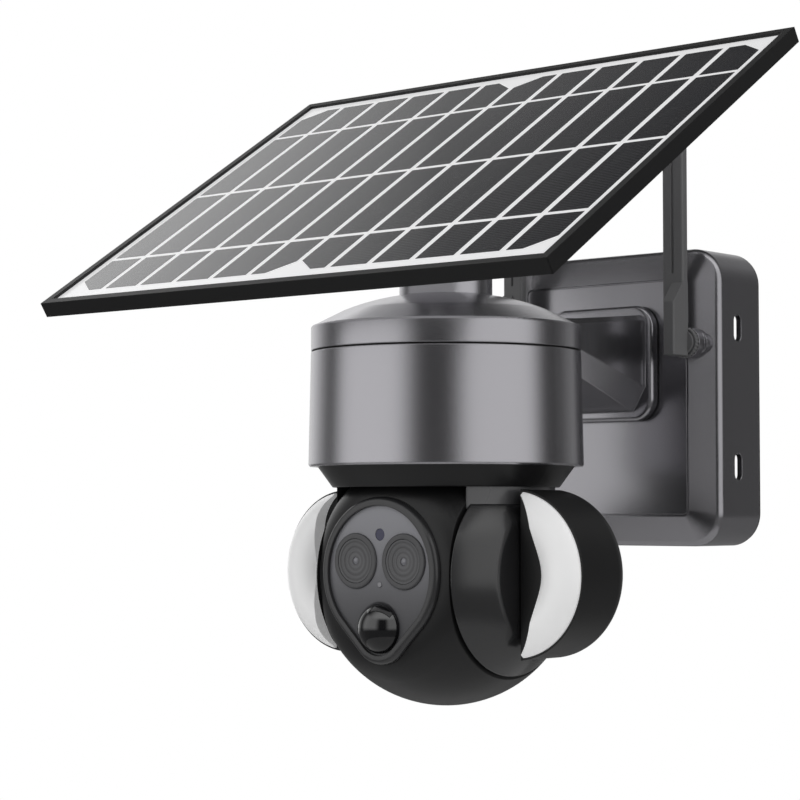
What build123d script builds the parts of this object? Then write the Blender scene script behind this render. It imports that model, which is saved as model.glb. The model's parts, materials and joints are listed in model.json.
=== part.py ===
from build123d import *
import os
from math import cos, radians, sin, sqrt

# Solar-powered security camera on a wall base. Millimetres, +Z up.
# Origin: centre of the base's wall face. +Y goes into the wall, the camera looks along -Y.

# wall base
base_half_width = 61.9
base_height = 141.4
base_corner_radius = 16.0
base_side_depth = 35.4
bevel_inset = 14.3
bevel_depth = 5.85
rim_round = 3.6                     # soft edge between the bevel and the sides
base_wall = 2.7
gasket_thickness = 1.5
face_groove = 0.8
strap_slot_depth = 20.1            # from the wall face to the middle of each strap slot
strap_slot_height = 33.0           # above and below the middle of the base
strap_slot_length = 13.0
strap_slot_width = 6.4
plate_width = 76.0
plate_height = 122.0
plate_thickness = 3.0
wall_hole_x = 18.0
wall_hole_z = 52.0
wall_hole_radius = 2.75
post_x = 30.0
post_z = 43.0
post_radius = 4.5
cell_radius = 9.2
cell_length = 65.2
cell_pitch = 18.8

# arm between the base and the dome
arm_z = 16.6
flange_half_width = 31.0
flange_height = 55.4
flange_corner_radius = 11.0
flange_thickness = 5.0
arm_gasket_thickness = 1.0
arm_bolt_x = 18.0
arm_bolt_z = 17.0
arm_bolt_radius = 2.5
cable_z = 18.6                     # duct from the base through the arm into the dome
cable_radius = 4.5

# dome
dome_y = -163.15
dome_radius = 60.0
dome_bottom_radius = 61.05
dome_bottom = -34.3
seam_z = 16.6
seam_gap = 0.8
dome_bore = 57.4
lid_top_z = 41.2
lid_rim_round = 1.2
lid_crown = (                      # radius and height of the crown's outline, rim to neck
    (60.0, 27.6), (58.8, 28.1), (52.0, 31.6), (46.0, 34.6), (34.0, 38.7), (22.0, 41.2), (10.0, 41.2))
lid_wall = 2.6
skirt_top_radius = 57.0
skirt_bottom_radius = 50.7
skirt_bottom = -43.5
skirt_hole_radius = 49.0
deck_z = -12.0
deck_thickness = 3.0
motor_top = 10.0
neck_radius = 20.7
neck_top = 62.0

# pan and tilt head
head_z = -82.0
ball_radius = 57.5
ball_flat = 43.5                   # the ball's flattened front, in front of the tilt axis
ball_nose_radius = 20.0            # the round between that flat and the sphere
ball_half_width = 36.4
ball_wall = 2.5
ball_split = 12.0                  # front and rear shells meet this far behind the tilt axis
axle_radius = 8.0
turntable_radius = 47.5
turntable_underside = -21.5
turntable_thickness = 3.5
stem_radius = 14.0
cover_inner_x = 38.0
cover_outer_x = 50.6
cover_wall = 2.2
cover_nose_radius = 6.0
strap_inner_x = 36.8
strap_outer_x = 45.0
strap_half_depth = 13.0
band_radius = 48.4                  # upper band of the yoke, turned to pass inside the skirt
band_bottom = -53.0
running_gap = 0.05

# face of the camera
face_ring_front = 46.2
face_plate_front = 44.6
face_back = 39.0
egg_top_z = -80.3
egg_top_radius = 32.5
egg_low_z = -103.7
egg_low_radius = 15.7
ring_width = 3.7
lens_x = 13.6
lens_z = -75.4
lens_ring_radius = 12.0
lens_glass_radius = 9.6
light_sensor_z = -64.0
light_sensor_radius = 2.6
led_z = -85.4
led_radius = 1.1
pir_radius = 11.0
pir_height = 7.5

# floodlights at the ball's sides
lamp_inner_x = 53.0
lamp_front_x = 51.6                 # the front part reaches further in, clear of the skirt
lamp_centre_x = 47.8
lamp_z = -80.9
lamp_radius = 36.4
lamp_front = 13.0
lamp_back = 21.8
lamp_rim = 0.9
lamp_back_round = 9.0
lamp_lens_seat = 1.6
lamp_lens_edge = ((64.0, 0.0), (61.0, 20.0), (58.4, 28.0), (53.6, 33.6))   # inner edge: |x|, height
lamp_lens_bow = (25.5, 12.0, 7.3)   # ring the lens's front is cut from: radius, section, distance forward
lamp_boss_x = 51.1
lamp_boss_radii = (9.0, 19.0)

# solar panel
panel_half_length = 141.65
panel_half_width = 105.2
panel_tilt = 32.9
panel_centre_y = dome_y - 25.4
panel_centre_z = 96.1
frame_height = 7.0
frame_lip = 4.0
frame_skin = 1.3
frame_foot = 8.0
laminate_thickness = 3.0
hinge_z = 84.0
hinge_radius = 3.0
lug_radius = 8.0
lug_x = 12.0
lug_thickness = 4.0

# antennas
antenna_x = 50.2
antenna_z = 25.1
antenna_top = 145.0
antenna_back = -48.95
blade_left = 41.8
blade_thickness = 4.6
blade_bottom = 44.0
foot_width = 6.0
foot_depth = 12.5
foot_bottom = 18.7
foot_front_top = 43.4               # the foot's top slopes up from here to the blade
foot_top = 53.0
socket_radius = 7.3

face_y = -(base_side_depth + bevel_depth)
panel_plane = Plane(
    origin=(0, panel_centre_y, panel_centre_z),
    x_dir=(1, 0, 0),
    z_dir=(0, -sin(radians(panel_tilt)), cos(radians(panel_tilt))),
)


def cylinder_x(radius, x0, x1, y, z):
    return Pos((x0 + x1) / 2, y, z) * Rot(0, 90, 0) * Cylinder(radius, abs(x1 - x0))


def cylinder_y(radius, y0, y1, x, z):
    return Pos(x, (y0 + y1) / 2, z) * Rot(90, 0, 0) * Cylinder(radius, abs(y1 - y0))


def cylinder_z(radius, z0, z1, x=0.0, y=dome_y):
    return Pos(x, y, (z0 + z1) / 2) * Cylinder(radius, abs(z1 - z0))


def block(x0, x1, y0, y1, z0, z1):
    middle = Pos((x0 + x1) / 2, (y0 + y1) / 2, (z0 + z1) / 2)
    return middle * Box(abs(x1 - x0), abs(y1 - y0), abs(z1 - z0))


def prism_y(sketch, y_back, y_front):
    """A sketch drawn in X and Z, extruded from y_back towards the front."""
    return extrude(Plane.XZ.offset(-y_back) * sketch, y_back - y_front)


def turned(points, y=dome_y):
    """A solid of revolution about the dome's axis from (radius, z) points."""
    return Pos(0, y, 0) * revolve(Plane.XZ * make_face(Polyline(*points, close=True)), Axis.Z)


def mirrored(solid):
    return mirror(solid, Plane.YZ)


# ---------------------------------------------------------------- wall base

def wall_plate():
    plate = prism_y(RectangleRounded(plate_width, plate_height, 8), 0, -plate_thickness)
    for x in (-1, 1):
        for z in (-1, 1):
            plate -= cylinder_y(wall_hole_radius, 1, -plate_thickness - 1, x * wall_hole_x, z * wall_hole_z)
            plate -= cylinder_y(1.7, 1, -plate_thickness - 1, x * post_x, z * post_z)
    return plate


def base_gasket():
    outer = RectangleRounded(2 * base_half_width - 1, base_height - 1, base_corner_radius - 0.5)
    inner = RectangleRounded(
        2 * (base_half_width - base_wall), base_height - 2 * base_wall, base_corner_radius - base_wall)
    return prism_y(outer - inner, 0, -gasket_thickness)


def base_face():
    return RectangleRounded(2 * (base_half_width - bevel_inset), base_height - 2 * bevel_inset, 3)


def base_outer():
    rim = RectangleRounded(2 * base_half_width, base_height, base_corner_radius)
    body = prism_y(rim, -gasket_thickness, -base_side_depth)
    body += loft([Plane.XZ.offset(base_side_depth) * rim, Plane.XZ.offset(-face_y) * base_face()], ruled=True)
    edge = body.edges().filter_by_position(Axis.Y, -base_side_depth - 0.01, -base_side_depth + 0.01)
    return fillet(edge, rim_round)


def base_shell():
    width = 2 * base_half_width
    body = base_outer()
    groove_inner = RectangleRounded(
        width - 2 * (bevel_inset + face_groove), base_height - 2 * (bevel_inset + face_groove), 2.2)
    body -= prism_y(base_face() - groove_inner, face_y + 1, face_y - 1)
    pocket = RectangleRounded(width - 2 * base_wall, base_height - 2 * base_wall, base_corner_radius - base_wall)
    body -= prism_y(pocket, 1, -base_side_depth + 1.6)
    inner_pocket = RectangleRounded(width - 2 * bevel_inset - 4, base_height - 2 * bevel_inset - 4, 2)
    body -= prism_y(inner_pocket, 1, face_y + 3.2)
    slot = SlotOverall(strap_slot_length, strap_slot_width, rotation=90)
    slot_plane = Plane(origin=(0, -strap_slot_depth, 0), x_dir=(0, 1, 0), z_dir=(1, 0, 0))
    for x in (-1, 1):
        for z in (-1, 1):
            body += cylinder_y(post_radius, face_y + 3, -plate_thickness, x * post_x, z * post_z)
            body -= cylinder_y(1.3, -plate_thickness - 14, 0, x * post_x, z * post_z)
            cut = slot_plane.offset(x * base_half_width) * Pos(0, z * strap_slot_height) * slot
            body -= extrude(cut, 8, both=True)
            body -= cylinder_y(arm_bolt_radius + 0.3, face_y - 1, face_y + 6,
                               x * arm_bolt_x, arm_z + z * arm_bolt_z)
        body -= cylinder_y(3.4, face_y - 1, -20, x * antenna_x, antenna_z)
    body -= cylinder_y(cable_radius, face_y - 1, -20, 0, cable_z)
    return body


def plate_screws():
    """Four screws that hold the shell's posts to the wall plate, heads flush with its back."""
    screws = []
    for x in (-1, 1):
        for z in (-1, 1):
            shank = cylinder_y(1.3, -plate_thickness - 14, -plate_thickness, x * post_x, z * post_z)
            head = cylinder_y(1.7, -plate_thickness, -0.2, x * post_x, z * post_z)
            screws.append(shank + head)
    return Compound(screws)


def battery_tray():
    half = 2 * cell_pitch + 1.4
    tray = block(-half, half, -plate_thickness, -24, -36, 36)
    tray -= block(-half + 1.4, half - 1.4, -plate_thickness - 1.6, -30, -34, 34)
    for x in (-1, 1):
        tray -= cylinder_y(post_radius + 0.4, 0, -40, x * post_x, post_z)
        tray -= cylinder_y(post_radius + 0.4, 0, -40, x * post_x, -post_z)
    return tray


def battery_cell(index):
    x = (index - 1.5) * cell_pitch
    y = -plate_thickness - 1.6 - cell_radius
    half = cell_length / 2
    return cylinder_z(cell_radius, -half, half, x, y) + cylinder_z(3.2, half, half + 1.2, x, y)


def battery_board():
    board = prism_y(RectangleRounded(64, 44, 3), -25.6, -27.2)
    parts = block(-22, -6, -27.2, -30.2, -12, 10) + block(4, 14, -27.2, -29.2, -4, 10)
    feet = block(-3, 3, -24, -25.6, -20, -14)
    return board + parts + feet


# ---------------------------------------------------------------- arm

def flange_sketch(grow=0.0):
    return Pos(0, arm_z) * RectangleRounded(
        2 * (flange_half_width + grow), flange_height + 2 * grow, flange_corner_radius + grow)


def arm_gasket():
    gasket = prism_y(flange_sketch(-0.6), face_y, face_y - arm_gasket_thickness)
    gasket -= cylinder_y(cable_radius, face_y + 1, face_y - 5, 0, cable_z)
    for x in (-1, 1):
        for z in (-1, 1):
            gasket -= cylinder_y(arm_bolt_radius + 0.3, face_y + 1, face_y - 5,
                                 x * arm_bolt_x, arm_z + z * arm_bolt_z)
    return gasket


def arm_section(half_width, top, bottom, top_cut, low_cut_x, low_cut_z):
    return make_face(Polyline(
        (-half_width + top_cut, top), (half_width - top_cut, top),
        (half_width, top - top_cut), (half_width, bottom + low_cut_z),
        (half_width - low_cut_x, bottom), (-half_width + low_cut_x, bottom),
        (-half_width, bottom + low_cut_z), (-half_width, top - top_cut), close=True))


def arm():
    """Flange, then a gusset whose underside rises to the back of the lid and the dome."""
    back = face_y - arm_gasket_thickness
    flange = prism_y(flange_sketch(), back, back - flange_thickness)
    flange = fillet(flange.faces().sort_by(Axis.Y)[0].edges(), 2.2)
    root = Plane.XZ.offset(-back + flange_thickness - 0.5) * arm_section(27.5, 39.4, -7.0, 2.5, 7.0, 12.0)
    middle = Plane.XZ.offset(96) * arm_section(24.4, 35.0, 11.8, 2.5, 6.5, 9.0)
    tip = Plane.XZ.offset(-dome_y - 40) * arm_section(22.0, 33.6, 11.8, 2.5, 6.0, 9.0)
    body = flange + loft([root, middle, tip], ruled=True)
    body -= lid_outer() + dome_outer() + cylinder_z(dome_radius - 0.6, 0, seam_z + 1)
    body -= cylinder_y(cable_radius, face_y + 2, dome_y, 0, cable_z)
    for x in (-1, 1):
        for z in (-1, 1):
            body -= cylinder_y(arm_bolt_radius, face_y + 2, back - 11, x * arm_bolt_x, arm_z + z * arm_bolt_z)
    return body


def arm_bolts():
    bolts = []
    for x in (-1, 1):
        for z in (-1, 1):
            at = (x * arm_bolt_x, arm_z + z * arm_bolt_z)
            shank = cylinder_y(arm_bolt_radius, face_y + 3.2, face_y - 11, *at)
            head = cylinder_y(4.2, face_y + 3.2, face_y + 7.4, *at)
            socket = prism_y(Pos(*at) * RegularPolygon(2.3, 6), face_y + 8, face_y + 5)
            bolts.append(shank + head - socket)
    return Compound(bolts)


# ---------------------------------------------------------------- dome

def lid_profile(inset):
    """Outline of the lid: an upright band, a soft rim and a crown that flattens to the neck."""
    low, band = seam_z + seam_gap / 2, dome_radius - inset
    crown = []
    for (r0, z0), (r, z), (r1, z1) in zip(lid_crown, lid_crown[1:], lid_crown[2:]):
        run, rise = r0 - r1, z1 - z0
        length = sqrt(run ** 2 + rise ** 2)
        crown.append((r - inset * rise / length, z - inset * run / length))
    rim = (band, crown[0][1] - lid_rim_round)
    outline = Polyline((0, crown[-1][1]), (0, low), (band, low), rim)
    outline += ThreePointArc(rim, (band - 0.27 * lid_rim_round, rim[1] + 0.72 * lid_rim_round), crown[0])
    outline += ThreePointArc(*crown[0:3]) + ThreePointArc(*crown[2:5])
    outline += Line(crown[-1], (0, crown[-1][1]))
    return make_face(outline)


def lid_outer():
    return Pos(0, dome_y, 0) * revolve(Plane.XZ * lid_profile(0), Axis.Z)


def lid():
    shell = lid_outer() - Pos(0, dome_y, 0) * revolve(Plane.XZ * lid_profile(lid_wall), Axis.Z)
    shell -= cylinder_y(cable_radius, dome_y + 70, dome_y + 40, 0, cable_z)
    return shell - cylinder_z(7, 30, 50)


def dome_outer():
    return turned([(0, seam_z - seam_gap / 2), (dome_radius, seam_z - seam_gap / 2),
                   (dome_bottom_radius, dome_bottom + 0.8), (dome_bottom_radius - 0.6, dome_bottom),
                   (0, dome_bottom)])


def dome_shell():
    shell = dome_outer() - cylinder_z(dome_bore, dome_bottom - 1, seam_z + 5)
    return shell - cylinder_y(cable_radius, dome_y + 70, dome_y + 40, 0, cable_z)


def seam_gasket():
    low, high = seam_z - seam_gap / 2, seam_z + seam_gap / 2
    ring = cylinder_z(dome_radius - 0.6, low, high) - cylinder_z(dome_bore, low - 1, high + 1)
    return ring - cylinder_y(cable_radius, dome_y + 70, dome_y + 40, 0, cable_z)


def skirt_ring():
    return turned([(skirt_hole_radius, dome_bottom + 4), (dome_bore, dome_bottom + 4), (dome_bore, dome_bottom),
                   (skirt_top_radius, dome_bottom), (skirt_bottom_radius, skirt_bottom + 0.5),
                   (skirt_bottom_radius - 0.5, skirt_bottom), (skirt_hole_radius, skirt_bottom)])


def pan_deck():
    """Fixed plate that carries the turntable's stem, the motor and the board."""
    deck = cylinder_z(dome_bore, deck_z, deck_z + deck_thickness)
    deck -= cylinder_z(stem_radius + running_gap, deck_z - 1, deck_z + 10)
    for angle in (30, 150, 270):
        x, y = 44 * cos(radians(angle)), 44 * sin(radians(angle))
        deck += cylinder_z(3, deck_z + deck_thickness, motor_top + 1.4, x, dome_y + y)
    return deck


def pan_motor():
    foot = deck_z + deck_thickness
    motor = cylinder_z(24, foot, motor_top) - cylinder_z(stem_radius + 1.5, foot - 1, foot + 6)
    return motor - cylinder_z(4 + running_gap, foot, motor_top - 3)


def main_board():
    z = motor_top + 1.4
    board = cylinder_z(50, z, z + 1.6)
    board += block(-20, 4, dome_y - 24, dome_y - 6, z + 1.6, z + 4.6)
    board += block(12, 30, dome_y - 4, dome_y + 14, z + 1.6, z + 3.6)
    board += block(-34, -24, dome_y + 4, dome_y + 22, z + 1.6, z + 9.6)
    return board


def neck():
    post = cylinder_z(neck_radius, lid_top_z, neck_top) - cylinder_z(7, lid_top_z - 1, neck_top + 1)
    return chamfer(post.edges().filter_by(GeomType.CIRCLE).group_by(Axis.Z)[-1].sort_by(SortBy.RADIUS)[-1], 1.0)


# ---------------------------------------------------------------- panel mount and panel

def swivel_head():
    """Turns on the neck and carries the panel's tilt hinge."""
    low = neck_top + 0.3
    head = cylinder_z(neck_radius, low, low + 8)
    head = chamfer(head.edges().filter_by(GeomType.CIRCLE).group_by(Axis.Z)[-1], 1.5)
    head += cylinder_z(7 - running_gap, lid_top_z + 4, low + 2)
    inner = lug_x - running_gap
    head += block(-inner, inner, dome_y - lug_radius, dome_y + lug_radius, low + 6, hinge_z)
    head += cylinder_x(lug_radius, -inner, inner, dome_y, hinge_z)
    return head - cylinder_x(hinge_radius + running_gap, -20, 20, dome_y, hinge_z)


def on_panel(x0, x1, v0, v1, n0, n1):
    """A block in the panel's own directions: across, up the slope, and out of its face."""
    middle = Pos((x0 + x1) / 2, (v0 + v1) / 2, (n0 + n1) / 2)
    return panel_plane * (middle * Box(abs(x1 - x0), abs(v1 - v0), abs(n1 - n0)))


def frame_ring(width, n0, n1):
    outer = on_panel(-panel_half_length, panel_half_length, -panel_half_width, panel_half_width, n0, n1)
    x, v = panel_half_length - width, panel_half_width - width
    return outer - on_panel(-x, x, -v, v, n0 - 1, n1 + 1)


def frame_rails():
    """The mitred frame, cut into its front, rear, left and right rails."""
    ring = frame_ring(1.8, -frame_height, 0) + frame_ring(frame_lip, -frame_skin, 0)
    ring += frame_ring(frame_foot, -frame_height, -frame_height + frame_skin)
    x, v, d = panel_half_length, panel_half_width, frame_foot + 2
    gap = 0.04
    front = [(-x + gap, -v), (x - gap, -v), (x - d - gap, -v + d), (-x + d + gap, -v + d)]
    right = [(x, -v + gap), (x, v - gap), (x - d, v - d - gap), (x - d, -v + d + gap)]
    outlines = {
        "front": front,
        "rear": [(px, -pv) for px, pv in front],
        "right": right,
        "left": [(-px, pv) for px, pv in right],
    }
    rails = {}
    for side, points in outlines.items():
        sketch = panel_plane.offset(-frame_height - 1) * make_face(Polyline(*points, close=True))
        rails[side] = ring & extrude(sketch, frame_height + 2, dir=panel_plane.z_dir)
    return rails


def solar_laminate():
    x, v = panel_half_length - 2, panel_half_width - 2
    return on_panel(-x, x, -v, v, -frame_skin - laminate_thickness, -frame_skin)


def hinge_slope():
    """How far up the slope from the panel's centre, and how far under it, the hinge lies."""
    tilt = radians(panel_tilt)
    dy, dz = dome_y - panel_centre_y, hinge_z - panel_centre_z
    return dy * cos(tilt) + dz * sin(tilt), -dy * sin(tilt) + dz * cos(tilt)


def panel_bracket():
    back = -frame_skin - laminate_thickness
    up, under = hinge_slope()
    plate = on_panel(-42, 42, up - 30, up + 30, back - 2, back)
    for x in (-1, 1):
        x0, x1 = x * lug_x, x * (lug_x + lug_thickness)
        plate += on_panel(x0, x1, up - lug_radius, up + lug_radius, under, back - 1)
        plate += cylinder_x(lug_radius, x0, x1, dome_y, hinge_z)
    return plate - cylinder_x(hinge_radius, -20, 20, dome_y, hinge_z)


def hinge_bolt():
    end = lug_x + lug_thickness
    bolt = cylinder_x(hinge_radius, -end - 1, end + 6, dome_y, hinge_z)
    head_plane = Plane(origin=(-end, dome_y, hinge_z), x_dir=(0, 1, 0), z_dir=(-1, 0, 0))
    nut_plane = Plane(origin=(end, dome_y, hinge_z), x_dir=(0, 1, 0), z_dir=(1, 0, 0))
    bolt += extrude(head_plane * RegularPolygon(5.6, 6), 4)
    return bolt + extrude(nut_plane * RegularPolygon(5.6, 6), 4.5)


def junction_box():
    back = -frame_skin - laminate_thickness
    box = on_panel(-32, 32, 58, 90, back - 12, back)
    box = fillet(box.edges().filter_by(Axis(panel_plane.origin, panel_plane.z_dir)), 4)
    return box + on_panel(-8, 8, 52, 59, back - 9, back - 2)


# ---------------------------------------------------------------- antennas

def antenna_socket():
    """Threaded socket on the base's bevel, with a rounded pad that blends into the edge."""
    inner = face_y + 4
    boss = cylinder_y(socket_radius, inner - 1, face_y - 5, antenna_x, antenna_z)
    pad = Pos(antenna_x + 3.4, antenna_z) * Circle(5.2)
    boss += prism_y(pad, inner + 2, face_y - 0.6)
    boss -= base_outer()
    boss += cylinder_y(3.4, face_y + 9, face_y, antenna_x, antenna_z)
    return boss - cylinder_y(2.4 + running_gap, face_y + 1, face_y - 20, antenna_x, antenna_z)


def antenna():
    """Right-angle paddle antenna: a pin in the socket, a foot, and a grooved blade."""
    right = antenna_x + foot_width / 2
    y0, y1 = antenna_back, antenna_back - foot_depth
    blade_front = antenna_back - blade_thickness
    side = Polyline((y0, foot_bottom), (y0, foot_top), (blade_front, foot_top),
                    (y1, foot_front_top), (y1, foot_bottom), close=True)
    side_plane = Plane(origin=(right, 0, 0), x_dir=(0, 1, 0), z_dir=(1, 0, 0))
    foot = extrude(side_plane * make_face(side), -foot_width)
    foot = fillet(foot.edges().filter_by(Axis.Z), 0.8)
    foot += cylinder_y(5.6, face_y - 5.3, y0 - 1, antenna_x, antenna_z)
    foot += cylinder_y(2.4, face_y - 0.5, y0 - 1, antenna_x, antenna_z)
    blade = block(blade_left, right, y0, blade_front, blade_bottom, antenna_top)
    blade = fillet(blade.edges().filter_by(Axis.Z), 1.0)
    blade = fillet(blade.faces().sort_by(Axis.Z)[-1].edges(), 0.8)
    groove = (blade_left + right) / 2
    blade -= block(groove - 0.6, groove + 0.6, blade_front - 1, blade_front + 0.8, 57.6, antenna_top - 8)
    return foot + blade


# ---------------------------------------------------------------- pan: turntable and yoke

def turntable():
    top = turntable_underside + turntable_thickness
    disc = cylinder_z(turntable_radius, turntable_underside, top)
    disc += cylinder_z(stem_radius, top, deck_z + deck_thickness + 3)
    return disc + cylinder_z(4, deck_z + deck_thickness, motor_top - 5)


def yoke_band(radius):
    """Upper band of the yoke on one side, turned about the pan axis."""
    side = block(strap_inner_x, 60, dome_y - 60, dome_y + 60, band_bottom, turntable_underside)
    return cylinder_z(radius, band_bottom, turntable_underside) & side


def yoke_strap():
    strap = block(strap_inner_x, strap_outer_x, dome_y - strap_half_depth, dome_y + strap_half_depth,
                  head_z, band_bottom)
    strap += yoke_band(band_radius)
    strap += cylinder_x(16, strap_inner_x, strap_outer_x, dome_y, head_z)
    strap += cylinder_x(41.0, strap_inner_x, cover_inner_x, dome_y, head_z)
    return strap - cylinder_x(axle_radius + running_gap, 30, 60, dome_y, head_z)


def flattened_ball(sphere, flat, nose):
    """A ball with a flat on its -Y side: the flat, a round tangent to it, then the sphere."""
    centre_y = nose - flat
    centre_r = sqrt((sphere - nose) ** 2 - centre_y ** 2)
    reach = sphere / (sphere - nose)
    join = (centre_r * reach, centre_y * reach)
    dx, dy = (join[0] - centre_r) / 2, (join[1] - flat) / 2 - centre_y
    length = sqrt(dx ** 2 + dy ** 2)
    bulge = (centre_r + dx / length * nose, centre_y + dy / length * nose)
    outline = Polyline((0, sphere), (0, -flat), (centre_r, -flat))
    outline += ThreePointArc((centre_r, -flat), bulge, join)
    outline += ThreePointArc(join, (sphere, 0), (0, sphere))
    return revolve(make_face(outline), Axis.Y)


def cover_cap(inset):
    cap = flattened_ball(ball_radius - inset, cover_outer_x - inset, cover_nose_radius - inset)
    return Pos(0, dome_y, head_z) * Rot(0, 0, 90) * cap


def side_cover():
    """Hollow cap that carries the ball's round on over the yoke."""
    around = (dome_y - 60, dome_y + 60, head_z - 60, head_z + 60)
    cap = cover_cap(0) & block(cover_inner_x, 60, *around)
    cap -= cover_cap(cover_wall) & block(cover_inner_x - 1, 60, *around)
    cap -= yoke_band(band_radius)
    return cap - cylinder_x(axle_radius + running_gap, 30, 60, dome_y, head_z)


# ---------------------------------------------------------------- tilt: ball and face

def ball_solid(inset):
    ball = flattened_ball(ball_radius - inset, ball_flat - inset, ball_nose_radius - inset)
    return Pos(0, dome_y, head_z) * ball


def ball_shell():
    slab = 80
    outer = ball_solid(0) & block(-ball_half_width, ball_half_width, dome_y - slab, dome_y + slab,
                                  head_z - slab, head_z + slab)
    inner_half = ball_half_width - ball_wall
    inner = ball_solid(ball_wall) & block(-inner_half, inner_half, dome_y - slab, dome_y + slab,
                                          head_z - slab, head_z + slab)
    return outer - inner - cylinder_x(axle_radius, -60, 60, dome_y, head_z)


def egg_sketch(inset=0.0):
    """Two circles and the tangents between them, the wide end up."""
    top, low = egg_top_radius - inset, egg_low_radius - inset
    span = egg_top_z - egg_low_z
    s = (top - low) / span
    c = sqrt(1 - s * s)
    sides = Polyline((-top * c, egg_top_z - top * s), (top * c, egg_top_z - top * s),
                     (low * c, egg_low_z - low * s), (-low * c, egg_low_z - low * s), close=True)
    return Pos(0, egg_top_z) * Circle(top) + Pos(0, egg_low_z) * Circle(low) + make_face(sides)


def ball_front():
    front = block(-60, 60, dome_y - 80, dome_y + ball_split, head_z - 80, head_z + 80)
    return (ball_shell() & front) - prism_y(egg_sketch(), dome_y - face_back + 4, dome_y - 70)


def ball_rear():
    return ball_shell() & block(-60, 60, dome_y + ball_split, dome_y + 80, head_z - 80, head_z + 80)


def face_ring():
    ring = prism_y(egg_sketch(), dome_y - face_back, dome_y - face_ring_front)
    ring = fillet(ring.faces().sort_by(Axis.Y)[0].edges(), 2.0)
    return ring - prism_y(egg_sketch(ring_width), dome_y - face_back + 1, dome_y - face_ring_front - 1)


def face_plate():
    plate = prism_y(egg_sketch(ring_width), dome_y - face_back, dome_y - face_plate_front)
    front, back = dome_y - 60, dome_y - 30
    for x in (-1, 1):
        plate -= cylinder_y(lens_ring_radius, front, back, x * lens_x, lens_z)
    plate -= cylinder_y(light_sensor_radius, front, back, 0, light_sensor_z)
    plate -= cylinder_y(led_radius, front, back, 0, led_z)
    return plate - cylinder_y(pir_radius, front, back, 0, egg_low_z)


def lens_barrel(x):
    barrel = cylinder_y(lens_ring_radius, dome_y - face_plate_front - 0.9, dome_y - 32, x, lens_z)
    barrel = fillet(barrel.faces().sort_by(Axis.Y)[0].edges(), 0.7)
    barrel += cylinder_y(9, dome_y - 32, dome_y - 23, x, lens_z)
    return barrel - cylinder_y(lens_glass_radius, dome_y - 60, dome_y - face_plate_front + 2.4, x, lens_z)


def lens_glass(x):
    """Front element: a shallow dome in the barrel's recess."""
    back = dome_y - face_plate_front + 2.4
    glass = cylinder_y(lens_glass_radius, back, back - 1.6, x, lens_z)
    sphere = Pos(x, back - 2.6 + 24, lens_z) * Sphere(24)
    return glass + (sphere & cylinder_y(lens_glass_radius, back - 1.6, back - 8, x, lens_z))


def sensor_board():
    board = prism_y(Pos(0, lens_z) * RectangleRounded(50, 26, 3), dome_y - 21.4, dome_y - 23)
    return board + block(-8, 8, dome_y - 21.4, dome_y - 18, lens_z - 8, lens_z + 8)


def pir_lens():
    base = cylinder_y(pir_radius, dome_y - 36, dome_y - face_plate_front - 1.0, 0, egg_low_z)
    radius = (pir_radius ** 2 + pir_height ** 2) / (2 * pir_height)
    front = dome_y - face_plate_front - 1.0
    sphere = Pos(0, front - pir_height + radius, egg_low_z) * Sphere(radius)
    return base + (sphere & cylinder_y(pir_radius, front, front - pir_height - 1, 0, egg_low_z))


def light_sensor():
    return cylinder_y(light_sensor_radius, dome_y - 38, dome_y - face_plate_front + 0.2, 0, light_sensor_z)


def status_led():
    return cylinder_y(led_radius, dome_y - 38, dome_y - face_plate_front - 0.3, 0, led_z)


def tilt_axle():
    """Hollow stub from inside the ball, through the yoke, into the floodlight."""
    stub = cylinder_x(axle_radius, ball_half_width - ball_wall - 2, lamp_inner_x + 4, dome_y, head_z)
    return stub - cylinder_x(4.5, 20, 70, dome_y, head_z)


def tilt_motor():
    motor = cylinder_x(10, -31.5, -14, dome_y + 22, head_z - 6)
    return motor + block(-33.5, -31.5, dome_y + 8, dome_y + 36, head_z - 13, head_z + 1)


def beyond_x(x):
    return Pos(x + 40, head_z) * Rectangle(80, 100)


def lamp_lens_sketch(inset):
    """Crescent: the lamp's circle beyond an inner edge that is flat at mid height and hooks in at its ends."""
    middle, turn, hook, tip = [(x + inset, z) for x, z in lamp_lens_edge]
    down = [(x, -z) for x, z in (turn, hook, tip)]
    edge = ThreePointArc(down[0], middle, turn) + ThreePointArc(turn, hook, tip)
    edge += Polyline(tip, (tip[0], 45), (100, 45), (100, -45), (tip[0], -45), down[2])
    edge += ThreePointArc(down[2], down[1], down[0])
    circle = Pos(lamp_centre_x, lamp_z) * Circle(lamp_radius - lamp_rim - inset)
    return circle & (Pos(0, lamp_z) * make_face(edge))


def lamp_housing():
    front = dome_y - lamp_front
    circle = Pos(lamp_centre_x, lamp_z) * Circle(lamp_radius)
    body = prism_y(circle & beyond_x(lamp_inner_x), dome_y + lamp_back, front)
    body = fillet(body.faces().sort_by(Axis.Y)[-1].edges().filter_by(GeomType.CIRCLE), lamp_back_round)
    body += prism_y(circle & beyond_x(lamp_front_x), front + 6, front)
    boss = Pos((lamp_boss_x + lamp_inner_x) / 2, dome_y, head_z) * Rot(0, 90, 0) * Cone(
        *lamp_boss_radii, lamp_inner_x - lamp_boss_x)
    body += boss & block(50, 60, front, dome_y + 30, head_z - 30, head_z + 30)
    body -= prism_y(lamp_lens_sketch(0), front + lamp_lens_seat, front - 2)
    body -= prism_y(lamp_lens_sketch(1.5), front + 5.6, front - 2)
    return body - cylinder_x(axle_radius, 40, lamp_inner_x + 4, dome_y, head_z)


def lamp_lens():
    """The crescent, its front bowed like the outside of a ring."""
    ring, section, forward = lamp_lens_bow
    bow = Pos(lamp_centre_x, dome_y - forward, lamp_z) * Rot(90, 0, 0) * Torus(ring, section)
    return prism_y(lamp_lens_sketch(0.05), dome_y - lamp_front + lamp_lens_seat, dome_y - 30) & bow


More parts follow.
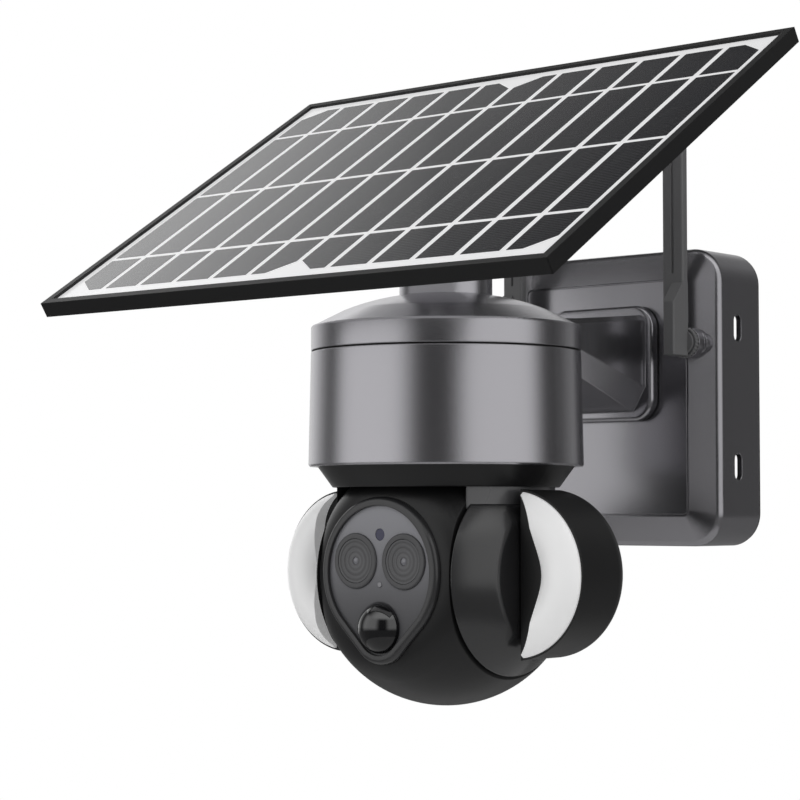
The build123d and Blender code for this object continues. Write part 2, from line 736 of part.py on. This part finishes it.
def lamp_board():
    return prism_y(lamp_lens_sketch(1.6), dome_y - lamp_front + 5.6, dome_y - lamp_front + 4.0)


# ---------------------------------------------------------------- write the parts

nodes = {
    "wall_plate": wall_plate(),
    "base_gasket": base_gasket(),
    "base_shell": base_shell(),
    "plate_screws": plate_screws(),
    "battery_tray": battery_tray(),
    "battery_board": battery_board(),
    "arm_gasket": arm_gasket(),
    "arm": arm(),
    "arm_bolts": arm_bolts(),
    "dome_shell": dome_shell(),
    "seam_gasket": seam_gasket(),
    "lid": lid(),
    "skirt_ring": skirt_ring(),
    "pan_deck": pan_deck(),
    "pan_motor": pan_motor(),
    "main_board": main_board(),
    "neck": neck(),
    "swivel_head": swivel_head(),
    "panel_bracket": panel_bracket(),
    "hinge_bolt": hinge_bolt(),
    "solar_laminate": solar_laminate(),
    "junction_box": junction_box(),
    "turntable": turntable(),
    "ball_front": ball_front(),
    "ball_rear": ball_rear(),
    "face_ring": face_ring(),
    "face_plate": face_plate(),
    "sensor_board": sensor_board(),
    "pir_lens": pir_lens(),
    "light_sensor": light_sensor(),
    "status_led": status_led(),
    "tilt_motor": tilt_motor(),
}

for index in range(4):
    nodes[f"battery_cell_{index + 1}"] = battery_cell(index)

for side, rail in frame_rails().items():
    nodes[f"frame_{side}"] = rail

for side, x in (("left", -1), ("right", 1)):
    nodes[f"lens_barrel_{side}"] = lens_barrel(x * lens_x)
    nodes[f"lens_glass_{side}"] = lens_glass(x * lens_x)

for name, maker in (
        ("antenna_socket", antenna_socket), ("antenna", antenna), ("yoke_strap", yoke_strap),
        ("side_cover", side_cover), ("tilt_axle", tilt_axle), ("lamp_housing", lamp_housing),
        ("lamp_lens", lamp_lens), ("lamp_board", lamp_board)):
    solid = maker()
    nodes[f"{name}_right"] = solid
    nodes[f"{name}_left"] = mirrored(solid)

os.makedirs("parts", exist_ok=True)
for name, solid in nodes.items():
    export_step(solid, f"parts/{name}.step")
print(len(nodes), "parts")
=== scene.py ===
import json
import math

import bpy
import numpy as np
from mathutils import Matrix, Vector


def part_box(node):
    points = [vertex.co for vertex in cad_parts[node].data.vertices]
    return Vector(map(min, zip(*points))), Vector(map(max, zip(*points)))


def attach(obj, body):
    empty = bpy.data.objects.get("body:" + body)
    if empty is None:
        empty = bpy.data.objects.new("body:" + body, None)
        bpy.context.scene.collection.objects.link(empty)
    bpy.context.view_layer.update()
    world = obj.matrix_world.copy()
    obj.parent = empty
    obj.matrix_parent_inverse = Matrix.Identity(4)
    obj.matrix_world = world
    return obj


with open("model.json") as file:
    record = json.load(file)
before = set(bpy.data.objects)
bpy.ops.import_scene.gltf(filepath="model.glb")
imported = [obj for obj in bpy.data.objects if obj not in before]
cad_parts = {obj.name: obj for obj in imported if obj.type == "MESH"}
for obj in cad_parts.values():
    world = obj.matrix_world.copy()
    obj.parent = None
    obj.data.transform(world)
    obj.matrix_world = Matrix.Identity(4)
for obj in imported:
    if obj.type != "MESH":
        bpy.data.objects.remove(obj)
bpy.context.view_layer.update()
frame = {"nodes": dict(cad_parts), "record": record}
nodes = frame["nodes"]


def middleOf(node):
    # middle of a CAD node's box, metres
    low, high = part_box(node)
    return (np.array(low) + np.array(high)) / 2


# Camera and studio

camera = {
    "azimuth": 40.65,        # degrees, seen from the object's right
    "pitch": 2.8,            # degrees, looking slightly up
    "place": (0.63415, -0.93306, -0.0534),
    "lens": 101.06,          # on a 36 mm sensor
}


def cameraAxes():
    a, p = math.radians(camera["azimuth"]), math.radians(camera["pitch"])
    level = Vector((-math.sin(a), math.cos(a), 0))
    right = Vector((math.cos(a), math.sin(a), 0))
    forward = level * math.cos(p) + Vector((0, 0, 1)) * math.sin(p)
    return forward, right, right.cross(forward)


def makeCamera():
    forward, right, up = cameraAxes()
    data = bpy.data.cameras.new("camera")
    data.lens, data.sensor_width = camera["lens"], 36
    data.clip_start, data.clip_end = 0.05, 20
    rig = bpy.data.objects.new("camera", data)
    turn = Matrix((right, up, -forward)).transposed()
    rig.matrix_world = Matrix.Translation(camera["place"]) @ turn.to_4x4()
    bpy.context.scene.collection.objects.link(rig)
    bpy.context.scene.camera = rig
    bpy.context.scene.view_settings.view_transform = "Standard"


class Signal:
    # one socket of a node tree; arithmetic on it adds Math nodes
    def __init__(self, kit, socket):
        self.kit, self.socket = kit, socket

    def math(self, operation, *values):
        return self.kit.make("Math", {"operation": operation}, dict(enumerate(values)))

    def __add__(self, other):
        return self.math("ADD", self, other)

    def __sub__(self, other):
        return self.math("SUBTRACT", self, other)

    def __rsub__(self, other):
        return self.math("SUBTRACT", other, self)

    def __mul__(self, other):
        return self.math("MULTIPLY", self, other)

    def __truediv__(self, other):
        return self.math("DIVIDE", self, other)

    def __rtruediv__(self, other):
        return self.math("DIVIDE", other, self)

    def __pow__(self, other):
        return self.math("POWER", self, other)

    __radd__ = __add__
    __rmul__ = __mul__

    def above(self, edge, soft):
        # 0 below the edge, 1 above it, with a smooth step between
        return self.kit.make("MapRange", {"interpolation_type": "SMOOTHSTEP"},
                             {"Value": self, "From Min": edge - soft, "From Max": edge + soft})


class Finish:
    # a material's node tree, and the one method that adds a node to it
    def __init__(self, name, tree=None):
        if tree is None:
            self.material = bpy.data.materials.new(name)
            self.material.use_nodes = True
            tree = self.material.node_tree
        self.tree = tree
        tree.nodes.clear()

    def make(self, kind, settings=None, values=None, output=0):
        node = self.tree.nodes.new("ShaderNode" + kind)
        for key, value in (settings or {}).items():
            setattr(node, key, value)
        for key, value in (values or {}).items():
            self.plug(node.inputs[key], value)
        return Signal(self, node.outputs[output]) if len(node.outputs) else node

    def plug(self, slot, value):
        if isinstance(value, Signal):
            self.tree.links.new(value.socket, slot)
        else:
            slot.default_value = value

    def surface(self, **values):
        # the shader and its output; an underscore in a name stands for a space
        named = {key.replace("_", " "): value for key, value in values.items()}
        shader = self.make("BsdfPrincipled", {}, named)
        self.make("OutputMaterial", {}, {"Surface": shader})
        return self.material

    def place(self, origin=(0, 0, 0), turn=(0, 0, 0), scale=(1, 1, 1)):
        # Object coordinates in metres about an origin, turned, then scaled
        here = self.make("TexCoord", output=3)
        here = self.make("VectorMath", {"operation": "SUBTRACT"}, {0: here, 1: tuple(origin)})
        values = {"Vector": here, "Rotation": turn, "Scale": scale}
        return self.make("Mapping", {"vector_type": "POINT"}, values)

    def axis(self, vector, name):
        return self.make("SeparateXYZ", {}, {"Vector": vector}, "XYZ".index(name))

    def noise(self, vector, scale, detail=3.0):
        return self.make("TexNoise", {}, {"Vector": vector, "Scale": scale, "Detail": detail})

    def mix(self, factor, first, second):
        return self.make("Mix", {"data_type": "RGBA"}, {"Factor": factor, 6: first, 7: second}, 2)

    def tint(self, tone, colour):
        # a colour times a signal near 1
        return self.make("VectorMath", {"operation": "SCALE"}, {0: colour, "Scale": tone})

    def bump(self, height, strength, distance, edge):
        # fine relief over edges softened by the given radius
        soft = self.make("Bevel", {"samples": 4}, {"Radius": edge})
        values = {"Height": height, "Strength": strength, "Distance": distance, "Normal": soft}
        return self.make("Bump", {}, values)


# Soft boxes stand round the object and are told apart by the angle of a direction from the
# camera, seen from above, positive to the right. They end a little below eye level.

studio = {
    "backdrop": 1.0,
    "shadow": 0.05,
    "boxes": (               # angle, half width, softness, strength
        (-67.5, 34.5, 13, 1.08), (45.5, 35, 11, 1.02), (140, 22, 20, 0.34), (-162, 32, 22, 0.95)),
    "boxFoot": -0.15,        # sine of the height where the boxes end
    "floorGlow": 0.20,
    "overhead": 1.5,         # soft light above and in front
    "behind": 0.03,          # and above and behind, where the panel mirrors it
    "card": (0.03, 3.8),     # the card mirrored in the panel: its strength at the edge, and its rise
    # the edges below are sines or cosines of directions, each with its softness
    "roof": (0.60, 0.10),
    "roofFront": (0.15, 0.35),
    "cardFar": (0.30, 0.04),
    "cardFoot": (0.40, 0.04),
    "cardBack": (-0.9, 0.05),
    "cardFront": (-0.35, 0.05),
}


def makeWorld():
    forward, right, up = cameraAxes()
    world = bpy.data.worlds.new("studio")
    bpy.context.scene.world = world
    world.use_nodes = True
    kit = Finish("studio", world.node_tree)
    ray = kit.make("TexCoord", output=0)
    level = Vector((forward.x, forward.y, 0)).normalized()

    def along(axis):
        return kit.make("VectorMath", {"operation": "DOT_PRODUCT"}, {0: ray, 1: tuple(axis)}, 1)

    towards, across, height = along(-level), along(right), along((0, 0, 1))
    angle = across.math("ARCTAN2", across, towards) * (180 / math.pi)
    light = 0 * angle + studio["shadow"]
    for centre, half, soft, strength in studio["boxes"]:
        away = angle.math("WRAP", angle - centre, 180, -180)
        light = light + (1 - away.math("ABSOLUTE", away).above(half, soft)) * (strength - studio["shadow"])
    foot = height.above(studio["boxFoot"], 0.04)
    light = light * foot + (1 - foot) * studio["floorGlow"]
    top = studio["behind"] + towards.above(*studio["roofFront"]) * (studio["overhead"] - studio["behind"])
    roof = height.above(*studio["roof"])
    light = light * (1 - roof) + roof * top
    past = along(cardEdge())
    card = past.above(0, 0.003) * (1 - past.above(*studio["cardFar"])) * height.above(*studio["cardFoot"])
    card = card * towards.above(*studio["cardBack"]) * (1 - towards.above(*studio["cardFront"]))
    light = light + card * (studio["card"][0] + past * studio["card"][1])
    seen = kit.make("LightPath")
    shown = light * (1 - seen) + seen * studio["backdrop"]
    sky = kit.make("Background", {}, {"Color": (1, 1, 1, 1), "Strength": shown})
    kit.make("OutputWorld", {}, {"Surface": sky})
    print("studio ready")


floorDisc = {"radius": 0.6, "middle": -0.15, "height": -0.52, "corners": 64}


def makeFloor():
    # round floor, a polygon of points radius * (cos, sin), well below the object
    around = np.linspace(0, 2 * np.pi, floorDisc["corners"], endpoint=False)
    radius, height = floorDisc["radius"], np.full(floorDisc["corners"], floorDisc["height"])
    points = np.stack([radius * np.cos(around), floorDisc["middle"] + radius * np.sin(around), height], -1)
    mesh = bpy.data.meshes.new("floor")
    mesh.from_pydata(points.tolist(), [], [list(range(floorDisc["corners"]))])
    paper = Finish("floorPaper")
    mesh.materials.append(paper.surface(Base_Color=(0.8, 0.8, 0.8, 1), Roughness=0.9))
    floor = bpy.data.objects.new("floor", mesh)
    bpy.context.scene.collection.objects.link(floor)


# Finishes

metal = {
    "dome": {"grey": 0.405, "rough": 0.24, "metallic": 0.96, "flake": 0.16},
    "base": {"grey": 0.33, "rough": 0.23, "metallic": 0.93, "flake": 0.14},
}


def satinMetal(name, grey, rough, metallic, flake):
    # metallic paint: fine flakes in the colour and a slight drift along the height
    paint = Finish(name)
    flakes = paint.noise(paint.place(), 2600, 2)
    drift = paint.noise(paint.place(scale=(1, 1, 0.2)), 18, 2)
    tone = 1 + (flakes - 0.5) * flake + (drift - 0.5) * 0.06
    return paint.surface(
        Base_Color=paint.tint(tone, (grey, grey * 0.985, grey * 1.04)), Metallic=metallic,
        Roughness=rough + (drift - 0.5) * 0.05, Normal=paint.bump(flakes, 0.06, 0.0002, 0.0007))


def mouldedPlastic(name, grey, rough, grain=0.10, shine=0.5, tint=1.05, edge=0.0006):
    # spark-eroded plastic: fine grain in the relief, and wear that lightens it in patches
    plastic = Finish(name)
    at = plastic.place()
    grains, wear = plastic.noise(at, 1500), plastic.noise(at, 22, 4)
    return plastic.surface(
        Base_Color=plastic.tint(0.86 + wear * 0.28, (grey, grey, grey * tint)),
        Roughness=rough + (wear - 0.5) * 0.10, Specular_IOR_Level=shine,
        Normal=plastic.bump(grains, grain, 0.0002, edge))


def drawnMetal(name, grey, rough, streak):
    # bare or plated metal with drawn streaks
    steel = Finish(name)
    lines = steel.noise(steel.place(scale=streak), 420)
    return steel.surface(
        Base_Color=steel.tint(0.85 + lines * 0.3, (grey, grey, grey * 1.02)), Metallic=1.0,
        Roughness=rough + (lines - 0.5) * 0.2, Normal=steel.bump(lines, 0.08, 0.0001, 0.0004))


paintedGlow = {"lamp": 0.20, "sheet": 0.22}    # painted glow: a little emitted light that brightens the two white finishes

# tones of the painted light on the face plate, from its foot to its top edge, and its roughness
faceShading = {"low": 0.070, "high": 0.36, "from": 0.15, "to": 1.10, "rough": 0.38}


def facePlate():
    # satin grey, with painted light: lighter towards its top edge
    plate = Finish("facePlateGrey")
    low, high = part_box("face_plate")
    height = plate.axis(plate.place(origin=low), "Z") / (high[2] - low[2])
    centre, half = (faceShading["from"] + faceShading["to"]) / 2, (faceShading["to"] - faceShading["from"]) / 2
    grains = plate.noise(plate.place(), 1800, 2)
    # painted light: the tone rises from low at the foot to high at the top edge
    tone = faceShading["low"] + height.above(centre, half) * (faceShading["high"] - faceShading["low"])
    return plate.surface(
        Base_Color=plate.tint(tone + (grains - 0.5) * 0.006, (1, 1, 1.08)),
        Roughness=faceShading["rough"] + (grains - 0.5) * 0.05, Normal=plate.bump(grains, 0.05, 0.0001, 0.0004))


def milkyLens():
    # translucent white cover with a faint cloud in it, and a painted glow that brightens it
    milk = Finish("milkyWhite")
    cloud = milk.noise(milk.place(), 60)
    return milk.surface(
        Base_Color=milk.tint(0.90 + cloud * 0.08, (1, 1, 1)), Roughness=0.28 + (cloud - 0.5) * 0.06,
        Subsurface_Weight=0.2, Subsurface_Radius=(0.004, 0.004, 0.004),
        Emission_Color=(1, 1, 1, 1), Emission_Strength=paintedGlow["lamp"],
        Normal=milk.bump(cloud, 0.04, 0.0002, 0.0005))


def cellGlass():
    # silicon under glass: thin printed fingers across the strip, faint crystal mottling
    glass = Finish("cellGlass")
    at = glass.place(origin=panelPoint(0, 0, 0), turn=(-panel["tilt"], 0, 0))
    up = glass.axis(at, "Y")
    finger = 1 - up.math("FRACT", up * (1 / panel["fingerPitch"])).above(0.14, 0.05)
    mottle = glass.noise(at, 90, 4)
    silicon = glass.tint(0.85 + mottle * 0.3, (0.0100, 0.0103, 0.0140))
    return glass.surface(
        Base_Color=glass.mix(finger * 0.06, silicon, (0.20, 0.20, 0.22, 1)),
        Roughness=0.45 + (mottle - 0.5) * 0.08, Coat_Weight=1.0, Coat_Roughness=0.04,
        Specular_IOR_Level=0.1, Normal=glass.bump(finger, 0.03, 0.00005, 0.0001))


def backSheet():
    # white sheet laminated behind the glass, with a painted glow that brightens it
    sheet = Finish("backSheetWhite")
    cloud = sheet.noise(sheet.place(), 40)
    return sheet.surface(
        Base_Color=sheet.tint(0.88 + cloud * 0.08, (1, 1, 1.01)), Roughness=0.5 + (cloud - 0.5) * 0.1,
        Coat_Weight=0.35, Coat_Roughness=0.06, Emission_Color=(1, 1, 1, 1),
        Emission_Strength=paintedGlow["sheet"], Normal=sheet.bump(cloud, 0.03, 0.0002, 0.0002))


def glossBlack():
    # moulded black window, polished above its middle and duller below
    gloss = Finish("windowBlack")
    height = gloss.axis(gloss.place(origin=middleOf("pir_lens")), "Z")
    haze = gloss.noise(gloss.place(), 120)
    return gloss.surface(
        Base_Color=gloss.tint(0.9 + haze * 0.2, (0.006, 0.006, 0.007)), Roughness=0.10 + (haze - 0.5) * 0.04,
        Coat_Weight=height.above(0, 0.0006), Coat_Roughness=0.03, Normal=gloss.bump(haze, 0.02, 0.0001, 0.0003))


def lensGlass():
    # coated front glass: nearly black, faintly violet towards its rim
    glass = Finish("coatedGlass")
    rim = glass.make("LayerWeight", {}, {"Blend": 0.4}, 1)
    haze = glass.noise(glass.place(), 200, 2)
    return glass.surface(
        Base_Color=glass.mix(rim, (0.020, 0.018, 0.034, 1), (0.06, 0.05, 0.10, 1)),
        Roughness=0.08 + (haze - 0.5) * 0.02, Coat_Weight=1.0, Coat_Roughness=0.02)


ringLook = {
    "spacing": 0.0022,
    "tone": 0.088,
    # how strongly the painted shade lightens and darkens alternate rings
    "contrast": 0.030,
    "middle": (0.0046, 0.0009, 0.022),   # radius of the lighter middle, its softness and its lift
}


def lensRings():
    # rings about each lens, a sine wave of the distance from its middle; the wave in the colour is painted
    # shade, lighter and darker rings in place of the shading of the small steps
    rings = Finish("lensRings")
    middle = middleOf("lens_barrel_right")
    at = rings.place()
    across = at.math("ABSOLUTE", rings.axis(at, "X")) - middle[0]
    height = rings.axis(at, "Z") - middle[2]
    distance = across.math("SQRT", across * across + height * height)
    wave = distance.math("SINE", distance * (2 * math.pi / ringLook["spacing"]))
    radius, soft, lift = ringLook["middle"]
    tone = ringLook["tone"] + wave * ringLook["contrast"] + (1 - distance.above(radius, soft)) * lift
    return rings.surface(
        Base_Color=rings.tint(tone, (1, 1, 1.05)), Roughness=0.34 + wave * 0.05,
        Normal=rings.bump(wave, 0.15, 0.0001, 0.0001))


def circuitBoard():
    # solder mask with tracks along the edges of a cell pattern
    board = Finish("circuitGreen")
    tracks = board.make("TexVoronoi", {"feature": "DISTANCE_TO_EDGE"}, {"Vector": board.place(), "Scale": 260})
    line = 1 - tracks.above(0.06, 0.02)
    return board.surface(
        Base_Color=board.mix(line * 0.5, (0.012, 0.09, 0.035, 1), (0.05, 0.22, 0.10, 1)),
        Roughness=0.35 + line * 0.1, Normal=board.bump(line, 0.1, 0.00005, 0.0002))


def wrapFilm():
    # shrunk film on the battery cells
    wrap = Finish("cellWrap")
    film = wrap.noise(wrap.place(scale=(1, 1, 0.1)), 300, 2)
    return wrap.surface(
        Base_Color=wrap.tint(0.85 + film * 0.3, (0.05, 0.16, 0.36)), Roughness=0.28 + (film - 0.5) * 0.1,
        Normal=wrap.bump(film, 0.05, 0.0001, 0.0004))


def makeFinishes():
    finishes = {
        "dome_metal": satinMetal("domeMetal", **metal["dome"]),
        "base_metal": satinMetal("baseMetal", **metal["base"]),
        "black_plastic": mouldedPlastic("blackPlastic", 0.0105, 0.40, shine=0.38),
        "face_grey": facePlate(),
        "lens_glass": lensGlass(),
        "pir_black": glossBlack(),
        "white_diffuser": milkyLens(),
        "frame_black": mouldedPlastic("frameBlack", 0.0100, 0.45, 0.05, 0.30),
        "solar_glass": backSheet(),
        "antenna_grey": mouldedPlastic("antennaGrey", 0.150, 0.42, 0.06, 0.5, 1.02),
        "zinc_steel": drawnMetal("zincSteel", 0.55, 0.32, (1, 1, 0.15)),
        "rubber": mouldedPlastic("rubber", 0.012, 0.75, 0.16, 0.3, 1.0),
        "cell_wrap": wrapFilm(),
        "circuit_green": circuitBoard(),
        "motor_can": drawnMetal("motorCan", 0.48, 0.28, (0.2, 1, 1)),
    }
    special = {
        "arm": satinMetal("armMetal", 0.33, 0.22, 0.94, 0.14),
        "face_ring": mouldedPlastic("ringSatin", 0.030, 0.30, 0.04, 0.6),
        "status_led": mouldedPlastic("lampDot", 0.30, 0.30, 0.02),
        "light_sensor": mouldedPlastic("sensorViolet", 0.030, 0.15, 0.02, 0.5, 2.6),
    }
    paired = {
        "yoke_strap_": mouldedPlastic("strapSatin", 0.075, 0.28, 0.05, 0.8),
        "side_cover_": mouldedPlastic("coverSatin", 0.020, 0.24, 0.05, 0.75),
        "lens_barrel_": mouldedPlastic("barrelGrey", 0.075, 0.34, 0.03),
    }
    for start, finish in paired.items():
        special[start + "left"] = special[start + "right"] = finish
    for part in frame["record"]["subparts"]:
        mesh = nodes[part["node"]].data
        mesh.materials.clear()
        mesh.materials.append(special.get(part["node"], finishes[part["material_slot"]]))
    return finishes


# Meshes from arrays

def makePiece(name, points, faces, finish, body, smooth=True):
    mesh = bpy.data.meshes.new(name)
    mesh.from_pydata(np.asarray(points).tolist(), [], faces)
    mesh.shade_smooth() if smooth else mesh.shade_flat()
    mesh.materials.append(finish)
    piece = bpy.data.objects.new(name, mesh)
    bpy.context.scene.collection.objects.link(piece)
    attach(piece, body)
    return piece


def turnedPiece(name, profile, centre, axis, finish, body,
                around=72, ripple=None, smooth=True, closed=False):
    # point = centre + along * axis + (radius + ripple) * (cos angle * side + sin angle * up), for a
    # profile of (along, radius); a closed profile makes a ring, an open one is capped at both ends
    profile, axis = np.array(profile, float), np.array(axis, float)
    side = np.cross(axis, (0, 0, 1.0))
    up = np.cross(side, axis)
    angle = np.linspace(0, 2 * np.pi, around, endpoint=False)
    along, radius = profile[:, :1], profile[:, 1:] + 0 * angle
    if ripple is not None:
        radius = radius + ripple(along, angle)
    ring = np.cos(angle)[:, None] * side + np.sin(angle)[:, None] * up
    points = np.array(centre) + along[..., None] * axis + radius[..., None] * ring
    rows = len(profile)
    row, column = np.meshgrid(np.arange(rows if closed else rows - 1), np.arange(around), indexing="ij")
    following, beside = (row + 1) % rows, (column + 1) % around
    quads = np.stack([row * around + column, row * around + beside,
                      following * around + beside, following * around + column], -1)
    faces = quads.reshape(-1, 4).tolist()
    if not closed:
        first = np.arange(around)
        faces += [first[::-1].tolist(), (first + (rows - 1) * around).tolist()]
    return makePiece(name, points.reshape(-1, 3), faces, finish, body, smooth)


# Solar panel

panel = {
    "tilt": math.radians(32.9),
    "strips": 12,
    "group": 6,                    # strips in each half, whose outer corners are cut
    "stripWidth": 0.0192,
    "stripPitch": 0.02246,
    "top": 0.0953,
    "bottom": -0.0927,
    "bars": (0.0651, 0.0013, -0.0626),
    "barWidth": 0.0026,
    "cut": (0.0112, 0.0088),
    "spare": 0.002,                # how far from its corner a point goes that no cut needs
    "lift": 0.00012,
    "fingerPitch": 0.0016,
    "cardTop": (-0.033, 0.070),    # where the edge of the card is mirrored
    "cardBottom": (0.067, -0.080),
    "cardSide": (-0.12, 0),        # a point on the card's side of that edge
}


def panelPoint(across, up, out):
    # middle of the laminate's face + across * x + up * slope + out * normal
    slope = np.array((0, math.cos(panel["tilt"]), math.sin(panel["tilt"])))
    normal = np.array((0, -math.sin(panel["tilt"]), math.cos(panel["tilt"])))
    across, up, out = (np.asarray(v, float)[..., None] for v in (across, up, out))
    return middleOf("solar_laminate") + across * np.array((1.0, 0, 0)) + up * slope + (out + 0.0015) * normal


def cardEdge():
    # normal of the plane through the camera's mirror image and the card's edge
    normal = Vector((0, -math.sin(panel["tilt"]), math.cos(panel["tilt"])))

    def mirrored(x, y):
        seen = (Vector(panelPoint(x, y, 0)) - Vector(camera["place"])).normalized()
        return seen - 2 * seen.dot(normal) * normal

    edge = mirrored(*panel["cardTop"]).cross(mirrored(*panel["cardBottom"])).normalized()
    return edge if edge.dot(mirrored(*panel["cardSide"])) > 0 else -edge


def makeCells():
    # x = strip middle + (-w/2, -w/2 + cut, w/2 - cut, w/2); y = row edge, drawn in by the cut at the
    # outer corners of each half; every cell is that outline on the glass and again a hair above it
    strip = np.arange(panel["strips"])
    cutX, cutY = panel["cut"]
    half = panel["stripWidth"] / 2
    middle = (strip - (panel["strips"] - 1) / 2) * panel["stripPitch"]
    x = middle[:, None] + (-half, cutX - half, half - cutX, half)
    first, last = strip % panel["group"] == 0, strip % panel["group"] == panel["group"] - 1
    drawn = np.zeros((panel["strips"], 4))
    drawn[first, 0], drawn[last, 3] = cutY, cutY
    spare = panel["spare"]
    x[first, 2], x[last, 1] = x[first, 3] - spare, x[last, 0] + spare
    between = [not (a or b) for a, b in zip(first, last)]
    x[between, 1], x[between, 2] = x[between, 0] + spare, x[between, 3] - spare
    bars, bar = np.array(panel["bars"]), panel["barWidth"] / 2
    tops = np.concatenate(([panel["top"]], bars - bar))
    bottoms = np.concatenate((bars + bar, [panel["bottom"]]))
    rows = len(tops)
    topmost, lowest = np.arange(rows) == 0, np.arange(rows) == rows - 1
    high = tops[:, None, None] - topmost[:, None, None] * drawn
    low = bottoms[:, None, None] + lowest[:, None, None] * drawn
    y = np.stack([low, high], 2)                           # row, strip, edge, corner
    x = np.broadcast_to(x[None, :, None, :], y.shape)
    points = np.stack([panelPoint(x, y, out * np.ones(y.shape)) for out in (0, panel["lift"])], 2)
    count = rows * panel["strips"]
    low0, high0, low1, high1 = (np.arange(4) + 4 * i for i in range(4))
    one = [[low1[i], low1[i + 1], high1[i + 1], high1[i]] for i in range(3)]
    one += [[low0[i], high0[i], high0[i + 1], low0[i + 1]] for i in range(3)]
    one += [[low0[i], low0[i + 1], low1[i + 1], low1[i]] for i in range(3)]
    one += [[high0[i], high1[i], high1[i + 1], high0[i + 1]] for i in range(3)]
    one += [[low0[0], low1[0], high1[0], high0[0]], [low0[3], high0[3], high1[3], low1[3]]]
    faces = (np.array(one)[None] + 16 * np.arange(count)[:, None, None]).reshape(-1, 4)
    makePiece("solarCells", points.reshape(-1, 3), faces.tolist(), cellGlass(), "panel", False)
    print("solar cells:", count)


# Lenses and small trim

lens = {
    "rings": 7,
    "outer": 0.0094,
    "inner": 0.0017,
    "step": 0.00008,        # depth between one ring and the next
    "recess": 0.00015,
    "back": 0.0039,
    "eye": (0.0001, 0.0010),   # how far back the domed front element starts, and its depth
}


def makeLens(side, ringFinish, eyeFinish):
    # stepped rings towards the middle, then a small domed front element
    low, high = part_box("lens_barrel_" + side)
    centre = ((low[0] + high[0]) / 2, low[1], (low[2] + high[2]) / 2)
    radius = np.repeat(np.linspace(lens["outer"], lens["inner"], lens["rings"] + 1), 2)[1:-1]
    depth = np.repeat(lens["recess"] + lens["step"] * np.arange(lens["rings"]), 2)
    profile = [(lens["back"], lens["outer"]), (lens["recess"], lens["outer"])]
    profile += list(zip(depth, np.concatenate(([lens["outer"]], radius[1:]))))
    profile += [(lens["back"], lens["inner"])]
    turnedPiece("lensRings" + side.title(), profile, centre, (0, 1, 0), ringFinish, "tilt_ball",
                smooth=False, closed=True)
    turn = np.linspace(0.05, math.pi / 2, 10)
    start, depth = lens["eye"]
    dome = np.stack([start + depth * (1 - np.cos(turn)), lens["inner"] * np.sin(turn)], -1).tolist()
    turnedPiece("lensEye" + side.title(), dome + [(lens["back"], lens["inner"])], centre, (0, 1, 0), eyeFinish,
                "tilt_ball", 40)


nut = {"radius": 0.0070, "bore": 0.0057, "length": 0.0023, "teeth": 26, "tooth": 0.0003}


def makeNut(side, finish):
    # knurled ring: radius + tooth * cos(teeth * angle) between its two chamfers
    socket = "antenna_socket_" + side
    low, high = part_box(socket)
    middle = (low[2] + high[2]) / 2
    outward = 1 if side == "right" else -1
    inner = low[0] if outward > 0 else high[0]
    centre = (inner + outward * (high[2] - low[2]) / 2, low[1], middle)
    r, length = nut["radius"], nut["length"]
    profile = [(0, nut["bore"]), (0, r - 0.0005), (-0.0003, r), (-length + 0.0003, r),
               (-length, r - 0.0005), (-length, nut["bore"])]

    def knurl(along, angle):
        return nut["tooth"] * np.cos(nut["teeth"] * angle) * (np.abs(along + length / 2) < length / 2 - 0.0001)

    turnedPiece("antennaNut" + side.title(), profile, centre, (0, 1, 0), finish, "root",
                208, knurl, True, True)


makeCamera()
makeWorld()
makeFloor()
finishes = makeFinishes()
makeCells()
ringGrey = lensRings()
eyeGlass = mouldedPlastic("lensEye", 0.22, 0.12, 0.01, 0.8, 1.1)
for side in ("left", "right"):
    makeLens(side, ringGrey, eyeGlass)
    makeNut(side, finishes["antenna_grey"])
print("trim ready")
